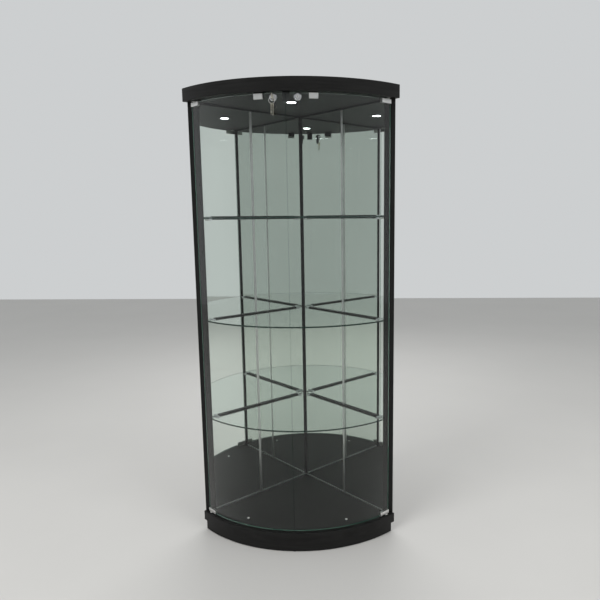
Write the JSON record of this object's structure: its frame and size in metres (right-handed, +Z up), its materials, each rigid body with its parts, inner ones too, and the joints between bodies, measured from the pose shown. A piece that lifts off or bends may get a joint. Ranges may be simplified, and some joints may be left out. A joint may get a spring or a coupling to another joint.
{
  "type": "corner curio cabinet",
  "caption": "Free-standing corner curio cabinet with mirrored back walls, glass shelves, curved glass doors with locks, and a lit canopy.",
  "frame": {"origin": "on the floor, under the middle of the whole cabinet's bounding box", "axes": "+Z up; the curved doors face -Y and the room corner is towards +Y; +X is to the right of someone facing the doors"},
  "size_m": [0.826, 0.5988, 1.8],
  "materials": {
    "black_board": "matt black woodgrain melamine, fine open grain",
    "deck_board": "matt charcoal woodgrain melamine",
    "mirror": "silvered float glass, slightly green",
    "door_glass": "clear curved float glass with dark green edges",
    "shelf_glass": "clear float glass with polished dark green edges",
    "clear_plastic": "clear",
    "aluminium": "satin anodised",
    "chrome": "bright",
    "satin_steel": "satin",
    "zinc_screw": "yellow zinc plated",
    "black_zinc": "black zinc plated",
    "black_plastic": "moulded",
    "white_plastic": "moulded",
    "grey_plastic": "moulded",
    "acetal": "natural",
    "led_board": "white coated circuit board",
    "lamp_diffuser": "emissive, frosted, cool white",
    "wire": "smooth sheath",
    "key_metal": "nickel plated"
  },
  "bodies": {
    "cabinet": {"base_deck": "deck_board", "front_plinth": "black_board", "left_plinth_rail": "black_board", "right_plinth_rail": "black_board", "floor_glides": "grey_plastic", "deck_caps": "white_plastic", "left_back_panel": "black_board", "right_back_panel": "black_board", "left_mirrors": "mirror", "right_mirrors": "mirror", "left_mirror_strip": "aluminium", "right_mirror_strip": "aluminium", "mirror_corner_trim": "black_plastic", "mirror_foot_channels": "aluminium", "mirror_head_trims": "black_plastic", "left_post": "black_board", "right_post": "black_board", "panel_screws": "zinc_screw", "back_joint_screws": "zinc_screw", "canopy_top": "black_board", "canopy_fascia": "black_board", "canopy_ceiling": "deck_board", "canopy_battens": "black_board", "lamp_housing": "black_plastic", "lamp_board": "led_board", "lamp_lens": "lamp_diffuser", "lamp_driver": "white_plastic", "lamp_wiring": "wire", "power_inlet": "black_plastic", "bottom_shelf": "shelf_glass", "middle_shelf": "shelf_glass", "top_shelf": "shelf_glass", "bottom_shelf_clamps": "chrome", "middle_shelf_clamps": "chrome", "top_shelf_clamps": "chrome", "shelf_back_rails": "black_plastic", "shelf_corner_blocks": "clear_plastic", "pivot_bushes": "acetal", "left_catch_body": "black_plastic", "right_catch_body": "black_plastic", "left_catch_magnet": "satin_steel", "right_catch_magnet": "satin_steel", "lock_keeper": "black_plastic"},
    "left_door": {"left_door_glass": "door_glass", "left_door_hinges": "satin_steel", "left_strike_plate": "satin_steel", "left_lock_body": "chrome", "left_lock_nut": "satin_steel"},
    "right_door": {"right_door_glass": "door_glass", "right_door_hinges": "satin_steel", "right_strike_plate": "satin_steel", "right_lock_body": "chrome", "right_lock_nut": "satin_steel"},
    "left_lock": {"left_lock_plug": "satin_steel", "left_lock_cam": "black_zinc", "lock_key": "key_metal"},
    "right_lock": {"right_lock_plug": "satin_steel", "right_lock_cam": "black_zinc"},
    "key_ring_set": {"key_ring": "satin_steel", "spare_keys": "key_metal"}
  },
  "joints": [
    {"name": "left_door_hinge", "type": "hinge", "parent": "cabinet", "child": "left_door", "pos_m": [-0.36855, -0.11472, 0.9], "axis": [0, 0, -1], "range_deg": [0, 105]},
    {"name": "right_door_hinge", "type": "hinge", "parent": "cabinet", "child": "right_door", "pos_m": [0.36855, -0.11472, 0.9], "axis": [0, 0, 1], "range_deg": [0, 105]},
    {"name": "left_lock_turn", "type": "hinge", "parent": "left_door", "child": "left_lock", "pos_m": [-0.043, -0.26171, 1.732], "axis": [-0.081, -0.9967, 0], "range_deg": [0, 90]},
    {"name": "right_lock_turn", "type": "hinge", "parent": "right_door", "child": "right_lock", "pos_m": [0.043, -0.26171, 1.732], "axis": [-0.081, 0.9967, 0], "range_deg": [0, 90]},
    {"name": "key_ring_swing", "type": "hinge", "parent": "left_lock", "child": "key_ring_set", "pos_m": [-0.04535, -0.29061, 1.732], "axis": [-0.9967, 0.081, 0], "range_deg": [-10, 60]}
  ]
}
